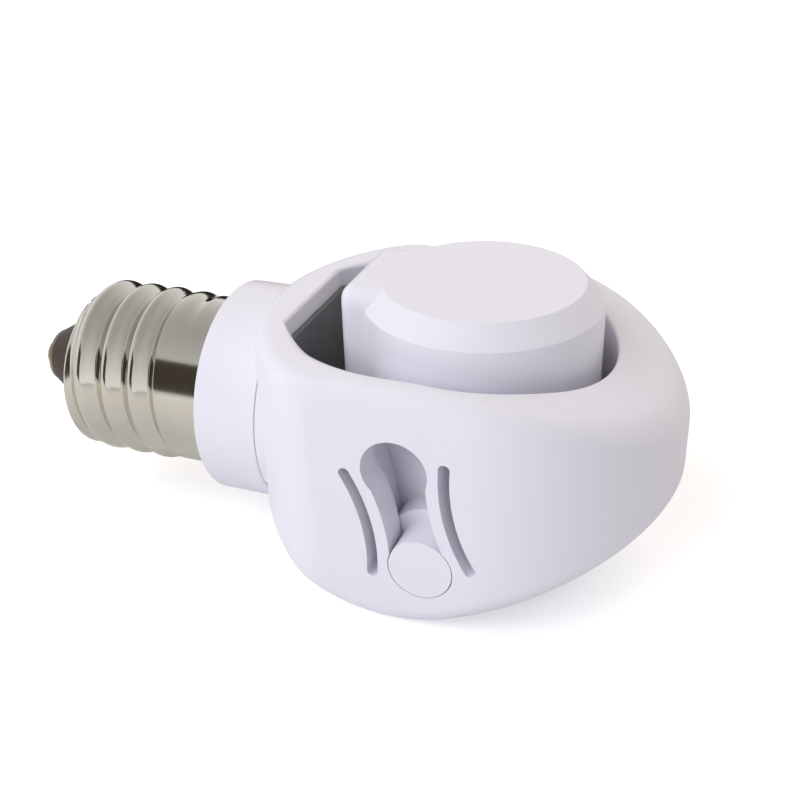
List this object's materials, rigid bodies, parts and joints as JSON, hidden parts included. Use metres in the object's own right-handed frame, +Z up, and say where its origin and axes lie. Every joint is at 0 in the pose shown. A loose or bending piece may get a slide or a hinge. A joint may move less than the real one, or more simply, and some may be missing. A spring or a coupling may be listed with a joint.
{
  "type": "lamp socket adapter",
  "caption": "Elbow adapter for small screw lamps: a screw base carries a swivelling ring housing, in which a tilting lampholder hangs between two pins.",
  "frame": {"origin": "centre of the collar's seating face, on the axis of the screw base", "axes": "+X along the base's axis from its tip to the lampholder, +Z up out of the holder's closed top, -Y towards the picture's side"},
  "size_m": [0.0631, 0.03, 0.0262],
  "materials": {
    "white_moulding": "satin moulded plastic, white with a faint lavender cast",
    "dark_moulding": "matt dark grey moulded plastic",
    "insulator": "dark brown moulded resin",
    "nickel": "rolled brass, nickel plated",
    "solder": "dull solder",
    "brass": "stamped spring brass",
    "spring_steel": "zinc-plated spring steel"
  },
  "bodies": {
    "screw_base": {"base_shell": "nickel", "base_insulator": "insulator", "base_contact": "nickel", "tip_solder": "solder", "collar": "white_moulding", "friction_washer": "spring_steel", "retaining_ring": "spring_steel"},
    "ring": {"housing": "white_moulding", "cavity_liner": "dark_moulding"},
    "holder": {"socket_body": "white_moulding", "mouth_ring": "white_moulding", "screw_shell": "nickel", "contact_plate": "insulator", "centre_contact": "brass", "contact_rivet": "brass", "live_terminal": "brass", "neutral_terminal": "brass", "plate_screw_front": "spring_steel", "plate_screw_back": "spring_steel"}
  },
  "joints": [
    {"name": "base_swivel", "type": "hinge", "parent": "screw_base", "child": "ring", "pos_m": [0, 0, 0], "axis": [1, 0, 0], "range_deg": [-170, 170]},
    {"name": "socket_tilt", "type": "hinge", "parent": "ring", "child": "holder", "pos_m": [0.02295, 0, -0.00573], "axis": [0, 1, 0], "range_deg": [-12, 4]}
  ]
}
